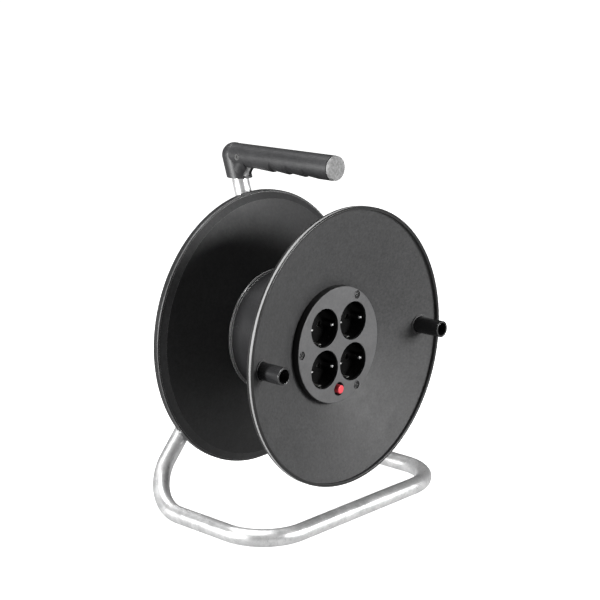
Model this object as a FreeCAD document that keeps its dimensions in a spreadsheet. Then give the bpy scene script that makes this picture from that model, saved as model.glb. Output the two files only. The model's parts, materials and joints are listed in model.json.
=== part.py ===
"""Extension cord reel: an empty drum with four sockets, on a bent tube stand.

Millimetres, +Z up.  The drum turns about a line parallel to Y; its socket side faces -Y.
The origin is on the floor, below the middle of the whole reel.
"""
import FreeCAD, Part
import math
import os
import re
import Sketcher

V = FreeCAD.Vector
UP = V(0, 0, 1)
ALONG_Y = FreeCAD.Rotation(V(1, 0, 0), -90)   # turns a piece's own Z into the drum's axis
ALONG_X = FreeCAD.Rotation(V(0, 1, 0), 90)

# Driving dimensions. Heights are above the floor. Places along Y (*_front, *_rear, *_y) are
# measured from one datum, which middle_shift then moves so that the reel is centred on Y = 0.
# A *_circle is the radius that a ring of features sits on.
DIMENSIONS = {
    "middle_shift": 3.13,
    # stand
    "tube_radius": 9, "tube_wall": 1.5, "stand_half_width": 140, "stand_front_y": -93.5,
    "stand_rear_y": 83.5, "front_bend": 51, "rear_bend": 48, "leg_top": 170,
    "leg_inward": 0.70, "leg_forward": 0.14,
    "upright_y": 56, "upright_foot": 203, "upright_knee": 274, "upright_lean": 0.32, "knee_bend": 60,
    "grip_height": 361, "grip_bend": 23, "handle_end_y": -56.5,
    # hub casting and axle
    "axis_height": 179, "hub_front": 38, "hub_rear": 64, "hub_radius": 20, "sleeve_radius": 12.6,
    "tube_fit": 0.1, "web_front": 52, "web_rear": 62,
    "axle_radius": 6, "axle_front": -12.5, "axle_rear": 78, "collar_radius": 10, "collar_front": 36.4,
    "running_gap": 0.05, "bush_radius": 9, "bush_length": 14, "boss_radius": 14,
    "boss_front": -8, "boss_rear": 34.5,
    # drum
    "front_rim_radius": 145, "front_rim_front": -82, "rim_depth": 7, "rim_wall": 3.5,
    "front_face_step": 4, "front_slope": 0.2646, "flange_wall": 3.1, "mouth_radius": 54.5,
    "core_radius": 64, "core_wall": 2.5, "core_front": -51.5, "core_rear": 29, "core_lip": 2,
    "seat_radius": 66.5, "rear_rim_radius": 147.5, "rear_rim_rear": 55, "bevel_radius": 138.3,
    "bevel_front": 44.5, "tie_circle": 58, "tie_hole": 2.3, "tie_thread": 1.8, "peg_radius": 3.4,
    "peg_length": 8, "tie_boss": 4.5,
    # socket unit
    "plate_radius": 61.2, "plate_front": -65, "plate_wall": 2.4, "plate_skirt": 2, "skirt_rear": -57,
    "socket_step": 21.85, "plate_opening": 20.3, "well_radius": 19.8, "well_wall": 1.7,
    "well_floor": -47.5, "floor_wall": 3, "insert_wall": 2.4, "insert_radius": 58.5,
    "pin_step": 9.5, "pin_hole": 3, "rib_inner": 17, "rib_half": 2, "rib_front": -60,
    "clip_inner": 17.9, "clip_wall": 0.8, "clip_half": 2, "clip_front": -58,
    "screw_circle": 55.8, "screw_boss": 3.2, "screw_recess": 1.8, "screw_boss_rear": -44,
    "button_drop": 46.8, "button_radius": 4.5, "button_hole": 7.3, "button_front": -68.1,
    "cutout_radius": 7.6, "cutout_rear": -33,
    "earth_front": -42.5, "live_front": -37, "neutral_front": -33.4, "strip_wall": 0.8,
    "strip_half": 4.4, "link_half": 2.5, "tail_rear": -18, "sleeve_outer": 3.2, "sleeve_inner": 2.5,
    "cover_radius": 50.5, "cover_wall": 2, "cover_rear": -27.5, "post_radius": 4.5,
    # cranks
    "crank_circle": 122, "crank_radius": 8.9, "crank_bore": 6.9, "crank_front": -103.4,
    "crank_floor": -70, "stub_radius": 4.45, "stub_length": 10, "collar_height": 1.2,
    "crank_gap": 0.3, "ring_inner": 9.4, "ring_outer": 10.9,
    # cable gland
    "gland_y": -20, "gland_thread": 8, "gland_bore": 5, "gland_hex": 11,
    # grip
    "grip_radius": 12.9, "grip_front": -57, "collar_grip_radius": 13.3, "collar_foot": 338,
    "bend_grip_radius": 11.4, "window_half": 6, "window_foot": 340.4, "hollow_lift": 2, "grip_screw_y": 68,
    "cap_radius": 12.35, "cap_wall": 4.4,
}

doc = FreeCAD.newDocument("cord_reel")
sheet = doc.addObject("Spreadsheet::Sheet", "Dims")
for row, (alias, value) in enumerate(DIMENSIONS.items(), start=1):
    sheet.set("A%d" % row, alias)
    sheet.set("B%d" % row, str(value))
    sheet.setAlias("B%d" % row, alias)
doc.recompute()


def formula(text):
    """An expression on the sheet, written with bare aliases."""
    return re.sub(r"[a-z_]+", lambda m: "Dims." + m[0] if m[0] in DIMENSIONS else m[0], str(text))


def value(text):
    """The number that a formula gives."""
    return float(sheet.evalExpression(formula(text)))


# ---------------------------------------------------------------- sketches and body features

def fix_point(sketch, geometry, point, x, y):
    """Holds one point of a sketch at the formulas x, y."""
    for kind, text, axis in (("DistanceX", x, -2), ("DistanceY", y, -1)):
        size = value(text)
        if abs(size) < 1e-9:
            sketch.addConstraint(Sketcher.Constraint("PointOnObject", geometry, point, axis))
        elif size > 0:
            index = sketch.addConstraint(Sketcher.Constraint(kind, -1, 1, geometry, point, size))
            sketch.setExpression("Constraints[%d]" % index, formula(text))
        else:
            index = sketch.addConstraint(Sketcher.Constraint(kind, geometry, point, -1, 1, -size))
            sketch.setExpression("Constraints[%d]" % index, "-(%s)" % formula(text))


def draw_outline(sketch, points):
    """A closed straight-sided outline through points given as pairs of formulas."""
    first = sketch.GeometryCount
    places = [V(value(x), value(y), 0) for x, y in points]
    count = len(points)
    for i in range(count):
        sketch.addGeometry(Part.LineSegment(places[i], places[(i + 1) % count]), False)
    for i in range(count):
        joint = Sketcher.Constraint("Coincident", first + i, 2, first + (i + 1) % count, 1)
        sketch.addConstraint(joint)
    for i, (x, y) in enumerate(points):
        fix_point(sketch, first + i, 1, x, y)


def draw_circle(sketch, x, y, radius):
    index = sketch.GeometryCount
    sketch.addGeometry(Part.Circle(V(value(x), value(y), 0), UP, value(radius)), False)
    fix_point(sketch, index, 3, x, y)
    size = sketch.addConstraint(Sketcher.Constraint("Radius", index, value(radius)))
    sketch.setExpression("Constraints[%d]" % size, formula(radius))


def rectangle(x, z, half_x, half_z):
    """Corners of a rectangle about x, z."""
    signs = ((-1, -1), (1, -1), (1, 1), (-1, 1))
    return [("%s + %d*(%s)" % (x, i, half_x), "%s + %d*(%s)" % (z, j, half_z)) for i, j in signs]


def plane(body, role):
    return next(f for f in body.Origin.OriginFeatures if f.Role == role)


def new_sketch(body, role, start="0"):
    sketch = body.newObject("Sketcher::SketchObject", "Sketch")
    sketch.AttachmentSupport = [(plane(body, role), "")]
    sketch.MapMode = "FlatFace"
    sketch.AttachmentOffset = FreeCAD.Placement(V(0, 0, value(start)), FreeCAD.Rotation())
    sketch.setExpression("AttachmentOffset.Base.z", formula(start))
    return sketch


def flat_sketch(body, start, circles=(), outlines=()):
    """A sketch across the piece's axis at height start. Places are (x, z) as seen from the front,
    with z measured up from the axis, which is the body's own -Y."""
    sketch = new_sketch(body, "XY_Plane", start)
    for x, z, radius in circles:
        draw_circle(sketch, x, "-(%s)" % z, radius)
    for outline in outlines:
        draw_outline(sketch, [(x, "-(%s)" % z) for x, z in outline])
    return sketch


def turn(body, outline):
    """Turns an outline of (radius, height) pairs about the body's Z."""
    sketch = new_sketch(body, "XZ_Plane")
    draw_outline(sketch, outline)
    feature = body.newObject("PartDesign::Revolution", "Turned")
    feature.Profile = sketch
    feature.ReferenceAxis = (sketch, ["V_Axis"])
    feature.Angle = 360
    doc.recompute()
    return feature


def turn_away(body, outline):
    """Turns an outline about the body's Z and takes it away."""
    before = body.Shape.Volume
    sketch = new_sketch(body, "XZ_Plane")
    draw_outline(sketch, outline)
    feature = body.newObject("PartDesign::Groove", "Groove")
    feature.Profile = sketch
    feature.ReferenceAxis = (sketch, ["V_Axis"])
    feature.Angle = 360
    doc.recompute()
    expect_less(body, before)


def expect_less(body, before):
    if not body.Shape.Volume < before - 1e-3:
        raise RuntimeError("a cut in %s removes nothing" % body.Label)


def add(body, start, end, circles=(), outlines=()):
    """Pads a flat sketch from height start to height end."""
    sketch = flat_sketch(body, start, circles, outlines)
    feature = body.newObject("PartDesign::Pad", "Pad")
    feature.Profile = sketch
    feature.setExpression("Length", formula("(%s) - (%s)" % (end, start)))
    doc.recompute()


def cut(body, start, end, circles=(), outlines=()):
    """Pockets a flat sketch from height start to height end."""
    before = body.Shape.Volume
    sketch = flat_sketch(body, start, circles, outlines)
    feature = body.newObject("PartDesign::Pocket", "Pocket")
    feature.Profile = sketch
    feature.Reversed = True
    feature.setExpression("Length", formula("(%s) - (%s)" % (end, start)))
    doc.recompute()
    expect_less(body, before)


def round_rims(body, size, rims, kind="PartDesign::Fillet"):
    """Rounds the circular edges centred on the body's Z at the given (radius, height) pairs."""
    base = body.Tip
    shape = base.Shape
    names = []
    for radius, height in rims:
        for number, edge in enumerate(shape.Edges, start=1):
            curve = edge.Curve
            if not isinstance(curve, Part.Circle):
                continue
            on_axis = math.hypot(curve.Center.x, curve.Center.y) < 1e-6
            if on_axis and abs(curve.Radius - value(radius)) < 1e-4 \
                    and abs(curve.Center.z - value(height)) < 1e-4:
                names.append("Edge%d" % number)
    if len(names) < len(rims):
        raise RuntimeError("an edge to round on %s wasn't found" % body.Label)
    feature = body.newObject(kind, "Rounded")
    feature.Base = (base, names)
    if kind == "PartDesign::Fillet":
        feature.Radius = size
    else:
        feature.Size = size
    doc.recompute()


# ---------------------------------------------------------------- sub-parts

sub_parts = []


def new_body(label, x="0", y="middle_shift", height="axis_height", rotation=ALONG_Y):
    body = doc.addObject("PartDesign::Body", "Body")
    body.Label = label
    body.Placement = FreeCAD.Placement(V(value(x), value(y), value(height)), rotation)
    body.setExpression("Placement.Base.x", formula(x))
    body.setExpression("Placement.Base.y", formula(y))
    body.setExpression("Placement.Base.z", formula(height))
    sub_parts.append(body)
    return body


def new_feature(label, shape):
    """A sub-part whose shape is built directly."""
    feature = doc.addObject("Part::Feature", "Feature")
    feature.Label = label
    feature.Shape = shape
    feature.setExpression("Placement.Base.y", formula("middle_shift"))
    sub_parts.append(feature)
    return feature


def rod(start, end, radius):
    """A solid cylinder between two points."""
    return Part.makeCylinder(radius, (end - start).Length, start, end - start)


def ring_places(circle, degrees):
    """(x, z) formulas of places on a circle about the drum's axis."""
    places = []
    for angle in degrees:
        turn_angle = math.radians(angle)
        places.append(("%s*%.6f" % (circle, math.cos(turn_angle)),
                       "%s*%.6f" % (circle, math.sin(turn_angle))))
    return places


def drum_point(x, y, z):
    """A point of the drum, with z measured from its axis."""
    return V(value(x), value(y), value("axis_height") + value(z))


SOCKETS = [("%d*socket_step" % i, "%d*socket_step" % k) for i in (-1, 1) for k in (-1, 1)]
TIE_PLACES = ring_places("tie_circle", (15, 105, 195, 285))
SCREW_PLACES = ring_places("screw_circle", (60, 180, 300))
BUTTON_PLACE = ("0", "-button_drop")


def screw(tip, head_seat, shank_radius, head_radius, head_height, drive_depth):
    """A pan-head screw from its tip to the seat of its head, with a cross recess."""
    axis = (head_seat - tip).normalize()
    top = head_seat + axis * head_height
    solid = rod(tip, head_seat, shank_radius).fuse(rod(head_seat, top, head_radius))
    solid = solid.removeSplitter()
    side = axis.cross(V(0.3, 0.2, 0.9)).normalize()
    arm = head_radius * 0.55
    for direction in (side, axis.cross(side)):
        blade = Part.makeBox(2 * arm, head_radius * 0.22, drive_depth)
        blade.translate(V(-arm, -head_radius * 0.11, -drive_depth))
        turned = FreeCAD.Rotation(direction, axis.cross(direction), axis, "ZXY")
        blade.Placement = FreeCAD.Placement(top, turned).multiply(blade.Placement)
        solid = solid.cut(blade)
    return solid


# ---------------------------------------------------------------- stand

def bent_wire(points, bends):
    """Straight runs through points, joined by tangent arcs of the given radii."""
    edges = []
    start = points[0]
    for before, corner, after, radius in zip(points, points[1:], points[2:], bends):
        back = (before - corner).normalize()
        ahead = (after - corner).normalize()
        half = math.acos(max(-1, min(1, back.dot(ahead)))) / 2
        reach = radius / math.tan(half)
        middle = (back + ahead).normalize()
        arc_start = corner + back * reach
        arc_end = corner + ahead * reach
        arc_middle = corner + middle * (radius / math.sin(half) - radius)
        edges.append(Part.LineSegment(start, arc_start).toShape())
        edges.append(Part.Arc(arc_start, arc_middle, arc_end).toShape())
        start = arc_end
    edges.append(Part.LineSegment(start, points[-1]).toShape())
    return Part.Wire(edges)


def swept(points, bends, radius):
    """A round bar along a bent line."""
    path = bent_wire(points, bends)
    ring = Part.Wire(Part.Circle(points[0], points[1] - points[0], radius).toShape())
    return path.makePipeShell([ring], True, False)


def bent_tube(points, bends):
    outer = swept(points, bends, value("tube_radius"))
    return outer.cut(swept(points, bends, value("tube_radius - tube_wall")))


def leg_point(side, height):
    """A point on a leg's straight axis at a height; side is -1 for the left leg."""
    climb = height - value("tube_radius")
    return V(side * (value("stand_half_width") - value("leg_inward") * climb),
             value("stand_rear_y") - value("leg_forward") * climb, height)


def stand_points():
    floor = value("tube_radius")
    half = value("stand_half_width")
    front = value("stand_front_y")
    return [leg_point(-1, value("leg_top")), leg_point(-1, floor), V(-half, front, floor),
            V(half, front, floor), leg_point(1, floor), leg_point(1, value("leg_top"))]


def handle_points():
    y = value("upright_y")
    knee = value("upright_knee")
    top = value("grip_height")
    return [V(0, y, value("upright_foot")), V(0, y, knee),
            V(0, y + value("upright_lean") * (top - knee), top), V(0, value("handle_end_y"), top)]


STAND_BENDS = [value(name) for name in ("rear_bend", "front_bend", "front_bend", "rear_bend")]
HANDLE_BENDS = [value(name) for name in ("knee_bend", "grip_bend")]
FRAME_SCREW_SEATS = [leg_point(-1, 158), leg_point(1, 158), V(0, value("upright_y"), 224)]
SCREW_SEAT_DEPTH = 11.4      # from a tube's axis to the seat of its screw's head
FRAME_SCREW_HOLE = 2.1


def screw_ways(radius, start, end):
    """One bar along Y at each frame screw, from start to end behind the tube's axis."""
    return [rod(seat + V(0, start, 0), seat + V(0, end, 0), radius) for seat in FRAME_SCREW_SEATS]


def make_tubes():
    """The floor loop with its two legs, and the upright that bends into the grip."""
    ways = screw_ways(FRAME_SCREW_HOLE, 0, value("sleeve_radius"))
    grip_screw_way = rod(V(-20, value("grip_screw_y"), value("grip_height")),
                         V(0, value("grip_screw_y"), value("grip_height")), 1.8)
    stand = bent_tube(stand_points(), STAND_BENDS).cut(ways[:2])
    handle = bent_tube(handle_points(), HANDLE_BENDS).cut([ways[2], grip_screw_way])
    new_feature("stand_tube", stand)
    new_feature("handle_tube", handle)


def make_hub_casting():
    """Casting that holds the two legs, the upright and the axle."""
    sleeve = value("sleeve_radius")
    bore = value("tube_radius + tube_fit")
    axis = value("axis_height")
    upright = V(0, value("upright_y"), 0)
    boss = rod(V(0, value("hub_front"), axis), V(0, value("hub_rear"), axis), value("hub_radius"))
    sleeves = [rod(leg_point(side, 146), leg_point(side, 180), sleeve) for side in (-1, 1)]
    sleeves.append(rod(upright + UP * 196, upright + UP * 240, sleeve))
    web_corners = ((-46, 150), (-30, 178), (-12, 206), (-12, 232), (12, 232), (12, 206),
                   (30, 178), (46, 150), (38, 146), (18, 160), (-18, 160), (-38, 146))
    corners = [V(x, value("web_front"), z) for x, z in web_corners]
    web = Part.Face(Part.makePolygon(corners + corners[:1])).extrude(V(0, value("web_rear - web_front"), 0))
    solid = boss.fuse(sleeves + [web])
    bores = [rod(leg_point(side, 130), leg_point(side, value("leg_top") + 0.3), bore) for side in (-1, 1)]
    bores.append(rod(upright + UP * value("upright_foot - 0.3"), upright + UP * 260, bore))
    bores.append(rod(V(0, 20, axis), V(0, 90, axis), value("axle_radius + running_gap")))
    bores += screw_ways(FRAME_SCREW_HOLE, 0, 30)
    bores += screw_ways(4.8, SCREW_SEAT_DEPTH, 30)
    new_feature("hub_casting", solid.cut(bores).removeSplitter())


def make_frame_screws():
    screws = [screw(seat + V(0, 3, 0), seat + V(0, SCREW_SEAT_DEPTH, 0), 2.0, 4.2, 2.6, 1.4)
              for seat in FRAME_SCREW_SEATS]
    new_feature("frame_screws", Part.makeCompound(screws))


def make_axle():
    """Axle pin with its collar, and the ring, washers and nut on it."""
    pin = new_body("axle_pin")
    turn(pin, [("0", "axle_front"), ("axle_radius", "axle_front"), ("axle_radius", "axle_front + 1.5"),
               ("axle_radius - 0.8", "axle_front + 1.5"), ("axle_radius - 0.8", "axle_front + 2.6"),
               ("axle_radius", "axle_front + 2.6"), ("axle_radius", "collar_front"),
               ("collar_radius", "collar_front"), ("collar_radius", "hub_front"),
               ("axle_radius", "hub_front"), ("axle_radius", "axle_rear"), ("0", "axle_rear")])
    round_rims(pin, 1.0, [("axle_radius", "axle_front"), ("axle_radius", "axle_rear")],
               "PartDesign::Chamfer")

    def ring(label, inner, outer, start, end):
        body = new_body(label)
        turn(body, [(inner, start), (outer, start), (outer, end), (inner, end)])
        return body

    clip = ring("axle_retaining_ring", "axle_radius - 0.75", "8.6", "axle_front + 1.55",
                "axle_front + 2.55")
    cut(clip, "axle_front + 1", "axle_front + 3", outlines=[rectangle("0", "-7", "2", "4")])
    ring("axle_front_washer", "axle_radius + 0.1", "11", "boss_front - 1.8", "boss_front - 0.3")
    ring("thrust_washer", "axle_radius + 0.1", "12", "boss_rear + 0.3", "collar_front - 0.1")
    ring("axle_lock_washer", "axle_radius + 0.1", "11.5", "hub_rear", "hub_rear + 2")
    nut = new_body("axle_nut")
    hexagon = ring_places("10.4", range(0, 360, 60))
    add(nut, "hub_rear + 2", "hub_rear + 11", outlines=[hexagon])
    cut(nut, "hub_rear + 1", "hub_rear + 12", circles=[("0", "0", "axle_radius")])


def make_grip():
    """Moulded handgrip over the bent tube end, its end cap and its screw."""
    height = value("grip_height")
    radius = value("grip_radius")
    corner = handle_points()[2]
    front = V(0, value("grip_front"), height)
    foot = value("collar_foot")
    lean = V(0, value("upright_lean"), 1)
    wide = 40
    bar = rod(front, corner, radius)
    collar = rod(corner - lean * (height - foot + 10), corner, value("collar_grip_radius"))
    knuckle = Part.makeSphere(value("collar_grip_radius"), corner)
    way = handle_points()
    sleeve = swept(way, HANDLE_BENDS, value("bend_grip_radius"))
    below = Part.makeBox(wide, 200, foot, V(-wide / 2, -70, 0))
    solid = bar.fuse([collar, knuckle, sleeve]).cut(below)

    # a window inside the bend shows the tube; it ends on a line from the bend's centre
    half = value("window_half")
    low = value("window_foot")
    side_view = ((76, low), (76, 353), (59.2, 353), (53.3, low))
    outline = [V(-half, y, z) for y, z in side_view]
    window = Part.Face(Part.makePolygon(outline + outline[:1])).extrude(V(2 * half, 0, 0))

    # hollows for the fingers, each a short step and a long ramp, turned about a line above the
    # grip's own axis so that they fade out towards its sides
    lift = value("hollow_lift")
    full = radius + lift
    steps = ((60, 1.2), (49, 1.5), (24.8, 0.3), (21.2, 1.9), (2, 0.2), (-1.6, 1.7), (-20.6, 0.1),
             (-24.2, 1.5), (-41, -0.05))
    profile = [V(0, y, height + lift - full + depth) for y, depth in steps]
    profile += [V(0, steps[-1][0], height - 30), V(0, steps[0][0], height - 30)]
    section = Part.Face(Part.makePolygon(profile + profile[:1]))
    hollows = section.revolve(V(0, 0, height + lift), V(0, 1, 0), 360)

    # a notch on each side where the underside meets the bend
    notches = []
    for side in (-1, 1):
        notch = Part.makeBox(8, 2.4, 8, V(side * 12 - 4, 44, height - radius - 1))
        notch.rotate(V(0, 44, height - radius), V(1, 0, 0), -35)
        notches.append(notch)

    way[-1] = front - V(0, 1, 0)
    bore = swept(way, HANDLE_BENDS, value("tube_radius + tube_fit"))
    screw_y = value("grip_screw_y")
    screw_way = rod(V(-30, screw_y, height), V(0, screw_y, height), 1.8)
    screw_seat = rod(V(-30, screw_y, height), V(-11.5, screw_y, height), 3.4)
    solid = solid.cut([window, hollows, bore, screw_way, screw_seat] + notches)
    new_feature("grip", max(solid.Solids, key=lambda s: s.Volume))
    grip_screw = screw(V(-4, screw_y, height), V(-11.5, screw_y, height), 1.7, 3.2, 1.2, 0.9)
    new_feature("grip_screw", grip_screw)

    cap = new_body("grip_end_cap", height="grip_height")
    turn(cap, [("0", "grip_front - cap_wall"), ("cap_radius", "grip_front - cap_wall"),
               ("cap_radius", "grip_front - 0.6"), ("cap_radius - 1.2", "grip_front - 0.6"),
               ("cap_radius - 1.2", "grip_front"), ("tube_radius - tube_wall - 0.1", "grip_front"),
               ("tube_radius - tube_wall - 0.1", "grip_front + 12"), ("0", "grip_front + 12")])
    round_rims(cap, 0.8, [("cap_radius", "grip_front - cap_wall")])


# ---------------------------------------------------------------- drum shell

def front_face(radius):
    """Height of the front flange's dished face at a radius, as a formula."""
    return "front_rim_front + front_face_step + (front_rim_radius - rim_wall - (%s))*front_slope" % radius


def make_front_flange():
    body = new_body("front_flange")
    rim_inner = "front_rim_radius - rim_wall"
    turn(body, [("mouth_radius", front_face("mouth_radius")), (rim_inner, front_face(rim_inner)),
                (rim_inner, "front_rim_front"), ("front_rim_radius", "front_rim_front"),
                ("front_rim_radius", "front_rim_front + rim_depth"),
                (rim_inner, "front_rim_front + front_face_step + flange_wall"),
                ("seat_radius", front_face("seat_radius") + " + flange_wall"),
                ("seat_radius", "core_front"), ("mouth_radius", "core_front")])
    round_rims(body, 1.4, [("front_rim_radius", "front_rim_front"), (rim_inner, "front_rim_front")])
    round_rims(body, 1.0, [("front_rim_radius", "front_rim_front + rim_depth")])
    make_crank_seats(body)
    pegs = [(x, z, "peg_radius") for x, z in TIE_PLACES]
    add(body, "core_front - 1", "core_front + peg_length", circles=pegs)
    cut(body, "core_front - 2", "core_front + peg_length", circles=[(x, z, "tie_thread") for x, z in TIE_PLACES])
    bosses = [(x, z, "screw_boss") for x, z in SCREW_PLACES]
    add(body, "plate_front + plate_wall + insert_wall", "screw_boss_rear", circles=bosses)
    cut(body, "plate_front", "screw_boss_rear - 2", circles=[(x, z, "1.75") for x, z in SCREW_PLACES])


def make_crank_seats(body):
    """A collar, a bored seat and a stub for each crank, on the flange's dished face."""
    places = [("%d*crank_circle" % side, "0") for side in (-1, 1)]
    add(body, "crank_front + 25", "crank_floor + 3", circles=[(x, z, "ring_outer") for x, z in places])
    inner = "crank_circle - ring_outer - 2"
    outer = "crank_circle + ring_outer + 2"
    turn_away(body, [(inner, front_face(inner) + " - collar_height"),
                     (outer, front_face(outer) + " - collar_height"),
                     (outer, "crank_front"), (inner, "crank_front")])
    cut(body, "crank_front", "crank_floor", circles=[(x, z, "ring_inner") for x, z in places])
    add(body, "crank_floor - stub_length", "crank_floor + 1", circles=[(x, z, "stub_radius") for x, z in places])
    cut(body, "crank_floor - stub_length", "crank_floor - 1", circles=[(x, z, "1.95") for x, z in places])


def make_rear_flange():
    body = new_body("rear_flange")
    rim_inner = "rear_rim_radius - rim_wall"
    rim_front = "rear_rim_rear - rim_depth"
    turn(body, [("bush_radius", "boss_front"), ("boss_radius", "boss_front"), ("boss_radius", "core_rear"),
                ("seat_radius", "core_rear"), ("bevel_radius", "bevel_front"),
                ("rear_rim_radius - 2", rim_front), ("rear_rim_radius", rim_front),
                ("rear_rim_radius", "rear_rim_rear"), (rim_inner, "rear_rim_rear"),
                (rim_inner, rim_front + " + flange_wall"), ("bevel_radius - 0.7", "bevel_front + flange_wall"),
                ("seat_radius", "core_rear + flange_wall"), ("boss_radius + 2", "core_rear + flange_wall"),
                ("boss_radius + 2", "boss_rear"), ("bush_radius", "boss_rear")])
    round_rims(body, 1.2, [("rear_rim_radius", "rear_rim_rear"), ("rear_rim_radius", rim_front)])
    cut(body, "core_rear - 1", "core_rear + 5", circles=[(x, z, "tie_hole") for x, z in TIE_PLACES])


def make_core():
    """Cylinder that the cord winds on, with four tie-screw bosses inside and the gland's hole."""
    body = new_body("drum_core")
    inner = "core_radius - core_wall"
    turn(body, [(inner, "core_front"), ("core_radius", "core_front"), ("core_radius", "core_rear - 2"),
                ("core_radius + core_lip", "core_rear - 2"), ("core_radius + core_lip", "core_rear"),
                (inner, "core_rear")])
    round_rims(body, 0.9, [("core_radius + core_lip", "core_rear - 2")])
    boss_start = "core_front + peg_length + 0.2"
    add(body, boss_start, "core_rear", circles=[(x, z, "tie_boss") for x, z in TIE_PLACES])
    cut(body, boss_start, "core_rear", circles=[(x, z, "tie_hole") for x, z in TIE_PLACES])
    hole = new_sketch(body, "YZ_Plane")
    draw_circle(hole, "0", "gland_y", "gland_thread + 0.1")
    pocket = body.newObject("PartDesign::Pocket", "GlandHole")
    pocket.Profile = hole
    pocket.Reversed = True
    pocket.setExpression("Length", formula("core_radius + 5"))
    before = body.Shape.Volume
    doc.recompute()
    expect_less(body, before)


def make_bushes():
    places = (("front_bush", "boss_front", "boss_front + bush_length"),
              ("rear_bush", "boss_rear - bush_length", "boss_rear"))
    for label, start, end in places:
        body = new_body(label)
        turn(body, [("axle_radius + running_gap", start), ("bush_radius", start), ("bush_radius", end),
                    ("axle_radius + running_gap", end)])


def make_tie_screws():
    seat_y = "core_rear + flange_wall"
    screws = [screw(drum_point(x, "core_front - 1", z), drum_point(x, seat_y, z), 1.75, 4.0, 2.4, 1.3)
              for x, z in TIE_PLACES]
    new_feature("tie_screws", Part.makeCompound(screws))


def make_gland():
    """Cable gland through the core's wall, and its locknut inside."""
    gland = new_body("cable_gland", y="gland_y + middle_shift", rotation=ALONG_X)
    turn(gland, [("gland_bore", "core_radius - 13"), ("gland_thread", "core_radius - 13"),
                 ("gland_thread", "core_radius + 0.1"), ("gland_hex", "core_radius + 0.1"),
                 ("gland_hex", "core_radius + 4"), ("gland_hex - 0.8", "core_radius + 4"),
                 ("gland_hex - 0.8", "core_radius + 9"), ("gland_hex - 3.4", "core_radius + 12.5"),
                 ("gland_bore", "core_radius + 12.5")])
    nut = new_body("gland_locknut", y="gland_y + middle_shift", rotation=ALONG_X)
    hexagon = ring_places("10.8", range(30, 360, 60))
    add(nut, "core_radius - 8.6", "core_radius - 4", outlines=[hexagon])
    cut(nut, "core_radius - 10", "core_radius - 3", circles=[("0", "0", "gland_thread")])


# ---------------------------------------------------------------- cranks

def make_cranks():
    """Two hollow crank handles, each turning on its own stub, and the screws that hold them."""
    base = "crank_floor - crank_gap"
    shelf = "crank_floor - stub_length + crank_gap"
    for label, side in (("crank_handle_left", -1), ("crank_handle_right", 1)):
        body = new_body(label, x="%d*crank_circle" % side)
        turn(body, [("stub_radius + 0.07", base), ("stub_radius + 0.07", shelf), ("crank_bore", shelf),
                    ("crank_bore", "crank_front"), ("crank_radius", "crank_front"), ("crank_radius", base)])
        round_rims(body, 0.7, [("crank_radius", "crank_front"), ("crank_bore", "crank_front")])
    screws = []
    for side in (-1, 1):
        x = "%d*crank_circle" % side
        screws.append(screw(drum_point(x, "crank_floor - 1.2", "0"),
                            drum_point(x, "crank_floor - stub_length", "0"), 1.9, 5.8, 2.2, 1.2))
    new_feature("crank_screws", Part.makeCompound(screws))


# ---------------------------------------------------------------- socket unit

def make_socket_plate():
    body = new_body("socket_plate")
    inner_face = "plate_front + plate_wall"
    turn(body, [("0", "plate_front"), ("plate_radius", "plate_front"), ("plate_radius", "skirt_rear"),
                ("plate_radius - plate_skirt", "skirt_rear"), ("plate_radius - plate_skirt", inner_face),
                ("0", inner_face)])
    round_rims(body, 1.2, [("plate_radius", "plate_front")])
    openings = [(x, z, "plate_opening") for x, z in SOCKETS]
    openings.append(BUTTON_PLACE + ("button_hole",))
    openings += [(x, z, "2.1") for x, z in SCREW_PLACES]
    cut(body, "plate_front - 1", inner_face + " + 1", circles=openings)
    cut(body, "plate_front", "plate_front + screw_recess", circles=[(x, z, "4.3") for x, z in SCREW_PLACES])


def make_socket_cups():
    """Four wells, each with its guide ribs, pin holes and earth slots."""
    front = "plate_front + plate_wall"
    floor_rear = "well_floor + floor_wall"
    for side, column in ((-1, "left"), (1, "right")):
        for rise, row in ((-1, "lower"), (1, "upper")):
            body = new_body("socket_cup_%s_%s" % (row, column), x="%d*socket_step" % side,
                            height="axis_height + %d*socket_step" % rise)
            turn(body, [("0", "well_floor"), ("well_radius", "well_floor"), ("well_radius", front),
                        ("well_radius + well_wall", front), ("well_radius + well_wall", floor_rear),
                        ("0", floor_rear)])
            rib_middle = "(rib_inner + well_radius + 0.6)/2"
            rib_reach = "(well_radius + 0.6 - rib_inner)/2"
            ribs = [rectangle("%d*%s" % (i, rib_middle), "0", rib_reach, "rib_half") for i in (-1, 1)]
            add(body, "rib_front", "well_floor + 1", outlines=ribs)
            pins = [("%d*pin_step" % i, "0", "pin_hole") for i in (-1, 1)]
            cut(body, "well_floor - 1", floor_rear + " + 1", circles=pins)
            slot_middle = "(clip_inner + clip_wall/2)"
            slots = [rectangle("0", "%d*%s" % (k, slot_middle), "clip_half + 0.2", "clip_wall/2 + 0.2")
                     for k in (-1, 1)]
            cut(body, "well_floor - 1", floor_rear + " + 1", outlines=slots)


def make_socket_carrier():
    """Disc behind the plate that carries the cups, the cutout and the contact cover's post."""
    body = new_body("socket_carrier")
    front = "plate_front + plate_wall"
    back = front + " + insert_wall"
    turn(body, [("0", front), ("insert_radius", front), ("insert_radius", back), ("0", back)])
    add(body, "plate_front + plate_wall + insert_wall - 1", "cover_rear - cover_wall",
        circles=[("0", "0", "post_radius")])
    holes = [(x, z, "well_radius + well_wall + 0.1") for x, z in SOCKETS]
    holes += [(x, z, "2.1") for x, z in SCREW_PLACES]
    holes.append(BUTTON_PLACE + ("cutout_radius + 0.1",))
    cut(body, "plate_front", back + " + 1", circles=holes)
    cut(body, "cover_rear - cover_wall - 9", "cover_rear", circles=[("0", "0", "1.55")])


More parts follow.
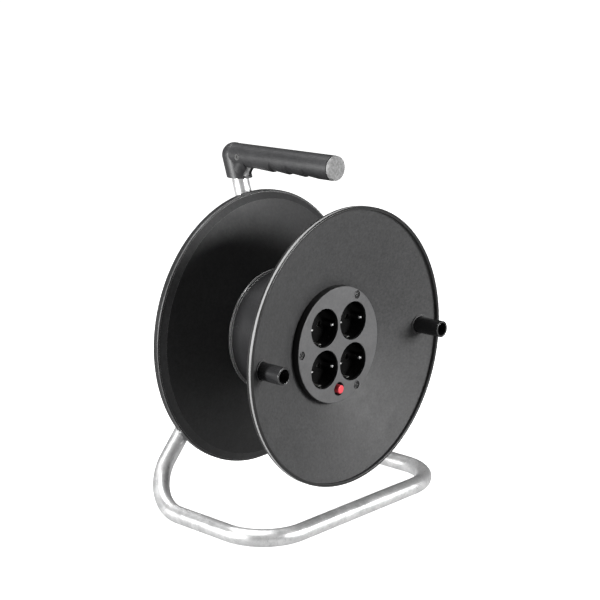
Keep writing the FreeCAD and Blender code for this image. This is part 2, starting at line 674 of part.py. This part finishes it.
def make_contact_sleeves():
    shapes = []
    for x, z in SOCKETS:
        for side in (-1, 1):
            start = drum_point("%s + %d*pin_step" % (x, side), "well_floor + floor_wall + 0.1", z)
            end = V(start.x, value("neutral_front + 2.4"), start.z)
            shapes.append(rod(start, end, value("sleeve_outer")).cut(rod(start, end, value("sleeve_inner"))))
    new_feature("contact_sleeves", Part.makeCompound(shapes))


def make_busbar(label, front, columns, link_height, tail_x):
    """A live or neutral strip: two columns with sleeve holes, a link and a tail to its clamp."""
    body = new_body(label)
    rear = front + " + strip_wall"
    outlines = [rectangle(x, "0", "strip_half", "socket_step + strip_half") for x in columns]
    add(body, front, rear, outlines=outlines[:1])
    middle = "(%s + %s)/2" % columns
    reach = "(%s - (%s))/2" % (columns[1], columns[0])
    add(body, front, rear, outlines=[rectangle(middle, link_height, reach, "link_half")])
    add(body, front, rear, outlines=outlines[1:])
    holes = [(x, "%d*socket_step" % k, "sleeve_outer") for x in columns for k in (-1, 1)]
    cut(body, front + " - 1", rear + " + 1", circles=holes)
    add(body, front, "tail_rear", outlines=[rectangle(tail_x, "8", "strip_wall/2", "link_half")])


def make_earth_busbar():
    """Earth strip with a pair of spring clips for each socket."""
    body = new_body("earth_busbar")
    rear = "earth_front + strip_wall"
    clip_end = "(socket_step + clip_inner + clip_wall)"
    add(body, "earth_front", rear, outlines=[rectangle("-socket_step", "0", "clip_half", clip_end)])
    add(body, "earth_front", rear, outlines=[rectangle("0", "8", "socket_step", "link_half")])
    add(body, "earth_front", rear, outlines=[rectangle("socket_step", "0", "clip_half", clip_end)])
    legs = [rectangle(x, "%s + %d*(clip_inner + clip_wall/2)" % (z, k), "clip_half", "clip_wall/2")
            for x, z in SOCKETS for k in (-1, 1)]
    add(body, "clip_front", rear, outlines=legs)
    add(body, "earth_front", "tail_rear", outlines=[rectangle("0", "8", "strip_wall/2", "link_half")])


def make_contact_cover():
    """Cover behind the contacts, open beside the thermal cutout."""
    body = new_body("contact_cover")
    front = "well_floor + floor_wall"
    inner = "cover_radius - cover_wall"
    turn(body, [(inner, front), ("cover_radius", front), ("cover_radius", "cover_rear"), ("0", "cover_rear"),
                ("0", "cover_rear - cover_wall"), (inner, "cover_rear - cover_wall")])
    cut(body, front + " - 1", "cover_rear + 1", outlines=[rectangle("0", "-button_drop", "10", "11")])
    slots = [rectangle(x, "8", "strip_wall/2 + 0.3", "link_half + 0.3")
             for x in ("-socket_step + pin_step", "0", "socket_step - pin_step")]
    cut(body, "cover_rear - cover_wall - 1", "cover_rear + 1", outlines=slots)
    cut(body, "cover_rear - cover_wall - 1", "cover_rear + 1", circles=[("0", "0", "1.9")])
    seat = drum_point("0", "cover_rear", "0")
    new_feature("cover_screw", screw(seat - V(0, 8, 0), seat, 1.5, 3.0, 2.0, 1.1))


def make_terminal_block():
    """Three-way screw terminal on the tails of the strips."""
    body = new_body("terminal_block")
    clamps = ("-socket_step + pin_step", "0", "socket_step - pin_step")
    add(body, "cover_rear", "cover_rear + 14", outlines=[rectangle("0", "10.4", "19", "6.2")])
    ways = [rectangle(x, "8", "strip_wall/2 + 0.3", "link_half + 0.3") for x in clamps]
    cut(body, "cover_rear", "tail_rear + 0.5", outlines=ways)
    cut(body, "tail_rear + 0.5", "cover_rear + 15", circles=[(x, "8.4", "2.2") for x in clamps])
    screw_y = value("cover_rear + 4.5")
    solid_screws = []
    for x in clamps:
        head = drum_point(x, "0", "16.6")
        head.y = screw_y
        solid_screws.append(screw(head - UP * 5.6, head, 1.5, 2.4, 1.4, 0.8))
    new_feature("terminal_screws", Part.makeCompound(solid_screws))
    return [(s.BoundBox.Center.x, screw_y) for s in solid_screws]


def bore_terminal_block(places):
    """Cuts the clamp screws' ways down from the top of the terminal block."""
    block = sub_parts[[p.Label for p in sub_parts].index("terminal_block")]
    sketch = new_sketch(block, "XZ_Plane", "10.9")
    for x, y in places:
        draw_circle(sketch, "%.4f" % x, "%.4f" % y, "1.6")
    feature = block.newObject("PartDesign::Pocket", "ClampWays")
    feature.Profile = sketch
    feature.Reversed = True
    feature.Length = 10
    before = block.Shape.Volume
    doc.recompute()
    expect_less(block, before)


def make_thermal_cutout():
    """Overload cutout behind the plate, its red reset button and its tabs."""
    front = "plate_front + plate_wall + 0.1"
    body = new_body("thermal_cutout")
    place = BUTTON_PLACE
    add(body, front, "cutout_rear", circles=[place + ("cutout_radius",)])
    cut(body, front, "front_rim_front + 24", circles=[place + ("button_radius + 2",)])
    cut(body, front, "front_rim_front + 34", circles=[place + ("3.1",)])
    tabs = []
    for side in (-1, 1):
        corner = drum_point("%d*3.2 - 0.4" % side, "cutout_rear", "-button_drop - 3.1")
        tabs.append(Part.makeBox(0.8, 8, 6.3, corner))
    new_feature("cutout_tabs", Part.makeCompound(tabs))

    button = new_body("reset_button", height="axis_height - button_drop")
    turn(button, [("0", "button_front"), ("button_radius", "button_front"), ("button_radius", "button_front + 7.6"),
                  ("3", "button_front + 7.6"), ("3", "button_front + 17"), ("0", "button_front + 17")])
    round_rims(button, 1.1, [("button_radius", "button_front")])


def make_plate_screws():
    seat_y = "plate_front + screw_recess"
    screws = [screw(drum_point(x, "screw_boss_rear - 3", z), drum_point(x, seat_y, z), 1.65, 3.3, 1.1, 0.8)
              for x, z in SCREW_PLACES]
    new_feature("plate_screws", Part.makeCompound(screws))


def check_and_export():
    doc.recompute()
    for item in doc.Objects:
        if "Invalid" in item.State or "Error" in item.State:
            raise RuntimeError("%s (%s) is %s" % (item.Label, item.Name, item.State))
    os.makedirs("parts", exist_ok=True)
    for item in sub_parts:
        if item.Shape.isNull() or not item.Shape.isValid():
            raise RuntimeError("%s has no valid shape" % item.Label)
    for item in sub_parts:
        item.Shape.exportStep("parts/%s.step" % item.Label)
        print("%-22s %2d solid(s) %10.1f mm3" % (item.Label, len(item.Shape.Solids), item.Shape.Volume))


make_tubes()
make_hub_casting()
make_frame_screws()
make_axle()
make_grip()
make_front_flange()
make_rear_flange()
make_core()
make_bushes()
make_tie_screws()
make_gland()
make_cranks()
make_socket_plate()
make_socket_cups()
make_socket_carrier()
make_contact_sleeves()
make_busbar("live_busbar", "live_front", ("-socket_step - pin_step", "socket_step - pin_step"), "-8",
            "socket_step - pin_step")
make_busbar("neutral_busbar", "neutral_front", ("-socket_step + pin_step", "socket_step + pin_step"), "14",
            "-socket_step + pin_step")
make_earth_busbar()
make_contact_cover()
clamp_places = make_terminal_block()
bore_terminal_block(clamp_places)
make_thermal_cutout()
make_plate_screws()
check_and_export()
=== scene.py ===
"""Looks for the extension cord reel: materials, small moulded details, studio and camera.

All lengths are in metres.
"""
import json
import math

import bmesh
import bpy
from mathutils import Matrix, Vector


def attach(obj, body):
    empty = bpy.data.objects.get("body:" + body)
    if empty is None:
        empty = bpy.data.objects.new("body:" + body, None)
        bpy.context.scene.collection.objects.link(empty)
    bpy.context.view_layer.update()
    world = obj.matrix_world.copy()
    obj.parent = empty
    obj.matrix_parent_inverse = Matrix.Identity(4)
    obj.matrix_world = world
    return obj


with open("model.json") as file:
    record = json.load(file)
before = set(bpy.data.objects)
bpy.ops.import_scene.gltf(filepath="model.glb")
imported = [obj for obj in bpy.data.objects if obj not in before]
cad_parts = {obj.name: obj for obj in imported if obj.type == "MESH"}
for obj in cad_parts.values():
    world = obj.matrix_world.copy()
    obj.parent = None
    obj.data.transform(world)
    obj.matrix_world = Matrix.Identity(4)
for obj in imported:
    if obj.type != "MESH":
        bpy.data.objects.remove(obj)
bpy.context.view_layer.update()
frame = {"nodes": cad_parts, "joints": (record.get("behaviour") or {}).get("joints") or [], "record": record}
nodes = frame["nodes"]
record = frame["record"]

AXIS_HEIGHT = next(j["pos_m"][2] for j in frame["joints"] if j["name"] == "drum_spin")
SOCKET_MOUNTS = [m for m in record["mounts"] if m["name"].startswith("socket_")]

# Flange rims: the front one has a pale band, a painted highlight, on a darker ground, painted shade,
# round its outer side, which is where the Y part of the normal is below BAND_NORMAL_Y.
FRONT_RIM_RADIUS, REAR_RIM_RADIUS = 0.1422, 0.1460
RIM_ROUGHNESS = 0.30
RIM_PAINTED_SHADE = 0.018
BAND_MIDDLE_Y, BAND_HALF = -0.0762, 0.0012
BAND_NORMAL_Y = 0.75

# Socket plate: what faces forward and lies in front of this depth is grey, and the rest black, painted shade
# on the plate's side and inside its openings.
PLATE_NORMAL_Y = -0.55
PLATE_FACE_END_Y = -0.0611

# Rib noses: reach from a well's middle, extent along Y, and half their height, which is also the
# radius of their rounded front. Their outer back edge meets the front inner edge of the CAD rib.
# Their pale grey look is a painted highlight on the ribs' fronts.
NOSE_INNER, NOSE_OUTER = 0.0139, 0.0171
NOSE_FRONT_Y, NOSE_BACK_Y = -0.0584, -0.0568
NOSE_HALF = 0.0010
NOSE_STEPS = 12

# Cosine between a corner's rounded and true normals: painted edge highlight at full strength below the first,
# none above the second.
HIGHLIGHT_FULL, HIGHLIGHT_NONE = 0.90, 0.995

# Noise and cell scales, in features per metre.
PATCHES, SPECKLES, GLOSS_PATCHES, WAVES = 28.0, 360.0, 90.0, 45.0
SPANGLES, BLOOMS, ZINC_SPECKS, ZINC_GLOSS, ZINC_LUMPS, ZINC_GRAIN = 210.0, 42.0, 520.0, 55.0, 160.0, 1500.0
METAL_GRAIN = 900.0


# ---------------------------------------------------------------- node helpers

def new_material(name):
    """An empty node material with one principled shader."""
    material = bpy.data.materials.new(name)
    material.use_nodes = True
    tree = material.node_tree
    tree.nodes.clear()
    output = tree.nodes.new("ShaderNodeOutputMaterial")
    shader = tree.nodes.new("ShaderNodeBsdfPrincipled")
    tree.links.new(shader.outputs["BSDF"], output.inputs["Surface"])
    return material, tree, shader


def position(tree):
    return tree.nodes.new("ShaderNodeTexCoord").outputs["Object"]


def geometry(tree, output):
    return tree.nodes.new("ShaderNodeNewGeometry").outputs[output]


def axes(tree, vector):
    """The X, Y and Z of a vector socket."""
    split = tree.nodes.new("ShaderNodeSeparateXYZ")
    tree.links.new(vector, split.inputs["Vector"])
    return split.outputs["X"], split.outputs["Y"], split.outputs["Z"]


def noise(tree, scale, detail=4.0, roughness=0.55, distortion=0.0):
    node = tree.nodes.new("ShaderNodeTexNoise")
    node.inputs["Scale"].default_value = scale
    node.inputs["Detail"].default_value = detail
    node.inputs["Roughness"].default_value = roughness
    node.inputs["Distortion"].default_value = distortion
    tree.links.new(position(tree), node.inputs["Vector"])
    return node.outputs["Fac"]


def cells(tree, scale):
    """One random brightness for each cell of a Voronoi pattern."""
    pattern = tree.nodes.new("ShaderNodeTexVoronoi")
    pattern.inputs["Scale"].default_value = scale
    tree.links.new(position(tree), pattern.inputs["Vector"])
    level = tree.nodes.new("ShaderNodeRGBToBW")
    tree.links.new(pattern.outputs["Color"], level.inputs["Color"])
    return level.outputs["Val"]


def maths(tree, operation, first, second=0.0):
    """One maths step on two sockets or numbers."""
    node = tree.nodes.new("ShaderNodeMath")
    node.operation = operation
    for socket, source in zip(node.inputs, (first, second)):
        if isinstance(source, bpy.types.NodeSocket):
            tree.links.new(source, socket)
        else:
            socket.default_value = source
    return node.outputs["Value"]


def ramp(tree, value, *stops):
    """Maps a value through (place, colour) stops."""
    node = tree.nodes.new("ShaderNodeValToRGB")
    elements = node.color_ramp.elements
    while len(elements) < len(stops):
        elements.new(0.5)
    for element, (place, colour) in zip(elements, stops):
        element.position = place
        element.color = (*colour, 1)
    tree.links.new(value, node.inputs["Fac"])
    return node.outputs["Color"]


def grey(level):
    return (level, level, level)


def scaled(colour, factor):
    """A colour made lighter or darker, up to full brightness."""
    return [min(1.0, channel * factor) for channel in colour]


def mixed(tree, factor, first, second, mode="MIX"):
    """Mixes two colours or sockets by a factor or socket."""
    node = tree.nodes.new("ShaderNodeMix")
    node.data_type = "RGBA"
    node.blend_type = mode
    for name, source in (("Factor_Float", factor), ("A_Color", first), ("B_Color", second)):
        socket = next(s for s in node.inputs if s.identifier == name)
        if isinstance(source, bpy.types.NodeSocket):
            tree.links.new(source, socket)
        elif isinstance(source, (int, float)):
            socket.default_value = source
        else:
            socket.default_value = (*source, 1)
    return next(s for s in node.outputs if s.identifier == "Result_Color")


def relink(tree, socket, factor, other, mode="MIX"):
    """Blends what already feeds a socket towards another colour, by a factor."""
    first = socket.links[0].from_socket
    tree.links.new(mixed(tree, factor, first, other, mode), socket)


def bumped(tree, shader, layers):
    """Stacks bump layers given as (height socket, strength, distance)."""
    normal = None
    for height, strength, distance in layers:
        bump = tree.nodes.new("ShaderNodeBump")
        bump.inputs["Strength"].default_value = strength
        bump.inputs["Distance"].default_value = distance
        tree.links.new(height, bump.inputs["Height"])
        if normal:
            tree.links.new(normal, bump.inputs["Normal"])
        normal = bump.outputs["Normal"]
    tree.links.new(normal, shader.inputs["Normal"])


def shader_of(material):
    return next(n for n in material.node_tree.nodes if n.type == "BSDF_PRINCIPLED")


# ---------------------------------------------------------------- materials

def painted_edge_highlight(tree, shader, radius, colour):
    """Lightens what lies within a radius of a corner: a painted highlight along edges, where light would
    catch them.
    """
    bevel = tree.nodes.new("ShaderNodeBevel")
    bevel.samples = 4
    bevel.inputs["Radius"].default_value = radius
    match = tree.nodes.new("ShaderNodeVectorMath")
    match.operation = "DOT_PRODUCT"
    tree.links.new(bevel.outputs["Normal"], match.inputs[0])
    tree.links.new(geometry(tree, "Normal"), match.inputs[1])
    edge = ramp(tree, match.outputs["Value"], (HIGHLIGHT_FULL, grey(1.0)), (HIGHLIGHT_NONE, grey(0.0)))
    relink(tree, shader.inputs["Base Color"], edge, colour)


def plastic(name, base, rough, grain=2600.0, depth=0.00004, patch=0.12, specular=0.5, speckle=0.0, edge=None):
    """Moulded plastic: fine grain, speckle, faint flow patches and a slightly uneven gloss.

    grain and depth are the scale and height of the fine grain, patch and speckle how far those
    darken or lighten the base, and edge the (radius, colour) of a painted highlight along corners.
    """
    material, tree, shader = new_material(name)
    colour = ramp(tree, noise(tree, PATCHES, detail=5.0, roughness=0.6),
                  (0.3, scaled(base, 1 - patch)), (0.7, scaled(base, 1 + patch)))
    tree.links.new(colour, shader.inputs["Base Color"])
    if speckle:
        dots = ramp(tree, noise(tree, SPECKLES, roughness=0.75),
                    (0.28, grey(1.0 - speckle)), (0.72, grey(1.0)))
        relink(tree, shader.inputs["Base Color"], 1.0, dots, "MULTIPLY")
    gloss = ramp(tree, noise(tree, GLOSS_PATCHES, detail=3.0),
                 (0.3, grey(rough * 0.88)), (0.7, grey(rough * 1.12)))
    tree.links.new(gloss, shader.inputs["Roughness"])
    shader.inputs["Specular IOR Level"].default_value = specular
    bumped(tree, shader, [(noise(tree, grain, detail=2.0), 0.35, depth),
                          (noise(tree, WAVES, detail=2.0), 0.06, 0.0006)])
    # edge paints a highlight along corners.
    if edge:
        painted_edge_highlight(tree, shader, *edge)
    return material


def metal(name, base, rough, variation=0.1, mottle=60.0):
    """Plated or cast metal with uneven colour and gloss."""
    material, tree, shader = new_material(name)
    shader.inputs["Metallic"].default_value = 1.0
    colour = ramp(tree, noise(tree, mottle, detail=6.0, roughness=0.65),
                  (0.3, scaled(base, 1 - variation)), (0.7, scaled(base, 1 + variation)))
    tree.links.new(colour, shader.inputs["Base Color"])
    gloss = ramp(tree, noise(tree, mottle * 3), (0.3, grey(rough * 0.8)), (0.7, grey(rough * 1.25)))
    tree.links.new(gloss, shader.inputs["Roughness"])
    bumped(tree, shader, [(noise(tree, METAL_GRAIN, detail=3.0), 0.15, 0.00005)])
    return material


def galvanised(name):
    """Zinc-dipped tube: faint spangles, grey blooms and fine dark specks."""
    material, tree, shader = new_material(name)
    shader.inputs["Metallic"].default_value = 0.78
    spangle = cells(tree, SPANGLES)
    bright = ramp(tree, spangle, (0.2, grey(0.86)), (0.8, grey(0.97)))
    bloom = ramp(tree, noise(tree, BLOOMS, detail=7.0, roughness=0.7, distortion=0.8),
                 (0.42, grey(0.0)), (0.66, grey(0.85)))
    clouded = mixed(tree, bloom, bright, (0.62, 0.625, 0.63))
    speck = ramp(tree, noise(tree, ZINC_SPECKS, roughness=0.6), (0.60, grey(0.0)), (0.72, grey(0.6)))
    tree.links.new(mixed(tree, speck, clouded, (0.38, 0.38, 0.385)), shader.inputs["Base Color"])
    gloss = ramp(tree, noise(tree, ZINC_GLOSS, detail=5.0, roughness=0.65),
                 (0.3, grey(0.26)), (0.7, grey(0.44)))
    tree.links.new(gloss, shader.inputs["Roughness"])
    bumped(tree, shader, [(spangle, 0.08, 0.0001),
                          (noise(tree, ZINC_LUMPS, detail=5.0, roughness=0.6), 0.20, 0.0003),
                          (noise(tree, ZINC_GRAIN, detail=2.0), 0.12, 0.00005)])
    return material


def faced_plastic(name, face, side):
    """Plate moulding: grained grey front, with near-black painted shade round its side and inside its
    openings.
    """
    material = plastic(name, face, rough=0.50, speckle=0.3)
    tree, shader = material.node_tree, shader_of(material)
    # Painted shade on the plate's side, which turns away from the front.
    side_painted_shade = maths(tree, "GREATER_THAN", axes(tree, geometry(tree, "True Normal"))[1], PLATE_NORMAL_Y)
    relink(tree, shader.inputs["Base Color"], side_painted_shade, side)
    # Painted shade inside the plate's openings, behind its face.
    opening_painted_shade = maths(tree, "GREATER_THAN", axes(tree, position(tree))[1], PLATE_FACE_END_Y)
    relink(tree, shader.inputs["Base Color"], opening_painted_shade, side)
    return material


def flange_plastic(name, base, rim_radius, edge_highlight_colour, band=None):
    """Flange moulding: grained faces, a smoother rim and, if band is given, painted shade darkening the rim
    with a pale band round its outward side as a painted highlight.
    """
    material = plastic(name, base, rough=0.48, grain=1300.0, depth=0.00020, patch=0.08, specular=0.35,
                       speckle=0.55)
    tree, shader = material.node_tree, shader_of(material)
    x, y, z = axes(tree, position(tree))
    height = maths(tree, "SUBTRACT", z, AXIS_HEIGHT)
    squares = maths(tree, "ADD", maths(tree, "MULTIPLY", x, x), maths(tree, "MULTIPLY", height, height))
    rim = maths(tree, "GREATER_THAN", maths(tree, "SQRT", squares), rim_radius)
    relink(tree, shader.inputs["Roughness"], rim, grey(RIM_ROUGHNESS))
    # Painted shade: the front rim's darker ground.
    if band:
        relink(tree, shader.inputs["Base Color"], rim, grey(RIM_PAINTED_SHADE))
    # Painted highlights along the flange's corners.
    painted_edge_highlight(tree, shader, 0.0010, edge_highlight_colour)
    # Painted highlight: the pale band on the rim's outward side.
    if band:
        forward = maths(tree, "ABSOLUTE", axes(tree, geometry(tree, "Normal"))[1])
        outward = maths(tree, "LESS_THAN", forward, BAND_NORMAL_Y)
        off_middle = maths(tree, "ABSOLUTE", maths(tree, "SUBTRACT", y, BAND_MIDDLE_Y))
        within = maths(tree, "LESS_THAN", off_middle, BAND_HALF)
        painted_highlight_mask = maths(tree, "MULTIPLY", maths(tree, "MULTIPLY", rim, outward), within)
        relink(tree, shader.inputs["Base Color"], painted_highlight_mask, band)
    return material


# Each look's maker and settings. The first fifteen are the record's slots, and the last three
# are used on the plate's screws, the front flange and the rib noses. The edge settings and the
# flanges' corner colours paint highlights along corners; the front flange's look is a lighter copy of
# the flange plastic, painted light, and the rib noses' pale grey is a painted highlight.
LOOKS = {
    "galvanised_tube": (galvanised, {}),
    "cast_hub": (metal, dict(base=(0.42, 0.43, 0.44), rough=0.55, variation=0.12, mottle=90.0)),
    "zinc_steel": (metal, dict(base=(0.62, 0.62, 0.60), rough=0.32)),
    "dark_screw": (metal, dict(base=grey(0.26), rough=0.30)),
    "nylon": (plastic, dict(base=(0.72, 0.71, 0.67), rough=0.45)),
    "grip_plastic": (plastic, dict(
        base=(0.036, 0.036, 0.038), rough=0.46, grain=700.0, depth=0.00040, patch=0.25, speckle=0.55)),
    # edge: a painted highlight along the cap's corners.
    "cap_plastic": (plastic, dict(
        base=grey(0.33), rough=0.50, grain=500.0, depth=0.0005, patch=0.25, speckle=0.75,
        edge=(0.0004, grey(0.55)))),
    # Its corner colour paints highlights along the rear flange's corners.
    "flange_plastic": (flange_plastic, dict(
        base=(0.034, 0.034, 0.035), rim_radius=REAR_RIM_RADIUS, edge_highlight_colour=grey(0.70))),
    # edge: a painted highlight along the core's corners, such as its end lip.
    "core_plastic": (plastic, dict(
        base=(0.028, 0.028, 0.029), rough=0.20, grain=800.0, depth=0.00001, patch=0.1, specular=0.8,
        edge=(0.0016, grey(0.60)))),
    # Near black for the socket wells: painted shade for their depth.
    "black_plastic": (plastic, dict(base=grey(0.006), rough=0.20, grain=900.0, depth=0.00002)),
    # edge: a painted highlight along the cranks' corners.
    "crank_plastic": (plastic, dict(
        base=(0.020, 0.020, 0.021), rough=0.24, grain=900.0, depth=0.00002, edge=(0.0006, grey(0.35)))),
    # side: near black, painted shade round the plate's side and inside its openings.
    "plate_plastic": (faced_plastic, dict(face=(0.110, 0.110, 0.112), side=grey(0.006))),
    "brass": (metal, dict(base=(0.78, 0.62, 0.34), rough=0.28)),
    "terminal_plastic": (plastic, dict(base=(0.78, 0.78, 0.76), rough=0.4)),
    "red_plastic": (plastic, dict(
        base=(0.84, 0.08, 0.10), rough=0.26, grain=900.0, depth=0.00002, patch=0.15)),
    # edge: a painted highlight round the screw heads and their cross recesses.
    "screw_black": (plastic, dict(base=grey(0.012), rough=0.3, edge=(0.0003, grey(0.45)))),
    # A lighter copy of the flange plastic, painted light, with a painted highlight band on painted shade at
    # its rim.
    "flange_plastic_front": (flange_plastic, dict(
        base=(0.062, 0.062, 0.063), rim_radius=FRONT_RIM_RADIUS, edge_highlight_colour=grey(0.10), band=grey(0.30))),
    # Pale grey: a painted highlight on the rib noses.
    "nose_plastic": (plastic, dict(
        base=grey(0.50), rough=0.22, grain=900.0, depth=0.00001, patch=0.1, specular=1.0)),
}
MATERIALS = {name: make(name, **settings) for name, (make, settings) in LOOKS.items()}

slots = {part["node"]: part["material_slot"] for part in record["subparts"]}
# The front flange gets a lighter copy of the flange plastic: painted light.
slots.update(plate_screws="screw_black", front_flange="flange_plastic_front")
for node_name, node in nodes.items():
    node.data.materials.clear()
    node.data.materials.append(MATERIALS[slots[node_name]])


# ---------------------------------------------------------------- moulded details

def rib_nose(name, well_x, well_z, side):
    """Small bar with a rounded front, reaching inwards from the front of a guide rib."""
    angles = [math.pi * (i / NOSE_STEPS - 0.5) for i in range(NOSE_STEPS + 1)]
    profile = [(NOSE_FRONT_Y + NOSE_HALF * (1 - math.cos(a)), NOSE_HALF * math.sin(a)) for a in angles]
    profile += [(NOSE_BACK_Y, NOSE_HALF), (NOSE_BACK_Y, -NOSE_HALF)]
    mesh = bmesh.new()
    inner, outer = ([mesh.verts.new((well_x + side * reach, y, well_z + z)) for y, z in profile]
                    for reach in (NOSE_INNER, NOSE_OUTER))
    for i in range(len(profile)):
        following = (i + 1) % len(profile)
        face = mesh.faces.new((inner[i], inner[following], outer[following], outer[i]))
        face.smooth = i < NOSE_STEPS
    for end in (inner, outer):
        mesh.faces.new(end)
    bmesh.ops.recalc_face_normals(mesh, faces=mesh.faces)
    data = bpy.data.meshes.new(name)
    mesh.to_mesh(data)
    mesh.free()
    piece = bpy.data.objects.new(name, data)
    bpy.context.scene.collection.objects.link(piece)
    # Pale grey plastic: a painted highlight on the rib's front.
    data.materials.append(MATERIALS["nose_plastic"])
    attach(piece, "drum")


for mount in SOCKET_MOUNTS:
    well = mount["name"].removeprefix("socket_")
    well_x, _, well_z = mount["pos_m"]
    for label, side in (("west", -1), ("east", 1)):
        rib_nose("guide_rib_nose_%s_%s" % (well, label), well_x, well_z, side)


# ---------------------------------------------------------------- studio

def pale_stage(stage_object, name):
    """Evenly pale studio surface that adds no light or reflection of its own."""
    stage_object.name = name
    stage_object.visible_diffuse = False
    stage_object.visible_glossy = False
    material, tree, shader = new_material(name)
    shader.inputs["Base Color"].default_value = (0.8, 0.8, 0.8, 1)
    shader.inputs["Roughness"].default_value = 0.9
    shader.inputs["Specular IOR Level"].default_value = 0.1
    shader.inputs["Emission Color"].default_value = (1, 1, 1, 1)
    shader.inputs["Emission Strength"].default_value = 1.0
    stage_object.data.materials.append(material)


def add_floor():
    bpy.ops.mesh.primitive_plane_add(size=60, location=(0, 0, 0))
    pale_stage(bpy.context.object, "studio_floor")


def add_backdrop():
    """Pale dome behind everything, for views that reach above the horizon."""
    bpy.ops.mesh.primitive_ico_sphere_add(subdivisions=4, radius=12, location=(0, 0, 0))
    dome = bpy.context.object
    pale_stage(dome, "studio_backdrop")
    dome.visible_shadow = False
    dome.visible_transmission = False


def add_light(name, place, target, size, power):
    """Rectangular area light of a size (metres) and power (watts), aimed at a target."""
    light = bpy.data.lights.new(name, "AREA")
    light.shape = "RECTANGLE"
    light.size, light.size_y = size
    light.energy = power
    holder = bpy.data.objects.new(name, light)
    bpy.context.scene.collection.objects.link(holder)
    holder.location = place
    holder.rotation_euler = (Vector(target) - Vector(place)).to_track_quat("-Z", "Y").to_euler()


def add_world(strength):
    """Pale surroundings: brighter below the horizon, where the floor is, than above it."""
    world = bpy.data.worlds.new("studio")
    world.use_nodes = True
    tree = world.node_tree
    upward = axes(tree, tree.nodes.new("ShaderNodeTexCoord").outputs["Generated"])[2]
    height = tree.nodes.new("ShaderNodeMapRange")
    height.inputs["From Min"].default_value = -1
    height.inputs["From Max"].default_value = 1
    tree.links.new(upward, height.inputs["Value"])
    level = ramp(tree, height.outputs["Result"],
                 (0.30, grey(0.95)), (0.49, grey(0.45)), (0.52, grey(0.07)), (0.9, grey(0.16)))
    tree.links.new(level, tree.nodes["Background"].inputs["Color"])
    tree.nodes["Background"].inputs["Strength"].default_value = strength
    bpy.context.scene.world = world


def add_camera(place, azimuth, elevation, roll, lens):
    """Camera at a place, turned by angles in degrees that are 0 when it looks along +Y."""
    azimuth, elevation, roll = (math.radians(angle) for angle in (azimuth, elevation, roll))
    back = Vector((math.sin(azimuth) * math.cos(elevation), -math.cos(azimuth) * math.cos(elevation),
                   math.sin(elevation)))
    right = Vector((math.cos(azimuth), math.sin(azimuth), 0))
    up = back.cross(right)
    turn = Matrix.Rotation(roll, 3, back)
    pose = Matrix((turn @ right, turn @ up, back)).transposed().to_4x4()
    pose.translation = Vector(place)
    camera = bpy.data.objects.new("camera", bpy.data.cameras.new("camera"))
    bpy.context.scene.collection.objects.link(camera)
    camera.data.sensor_width = 36
    camera.data.lens = lens
    camera.data.clip_end = 100
    camera.matrix_world = pose
    bpy.context.scene.camera = camera


add_floor()
add_backdrop()
add_light("key", place=(0.75, -1.9, 0.66), target=(0, 0, 0.18), size=(0.9, 0.7), power=52)
add_light("left", place=(-1.97, 0.60, 0.50), target=(0, 0.02, 0.2), size=(0.35, 0.7), power=56)
add_light("top", place=(-0.4, 0.34, 2.0), target=(0, 0, 0.2), size=(1.2, 0.4), power=34)
add_world(strength=0.6)
bpy.context.scene.view_settings.view_transform = "Standard"
add_camera(place=(-1.17736, -1.10218, 0.60440), azimuth=-47.079, elevation=13.525, roll=-0.135, lens=95.21)
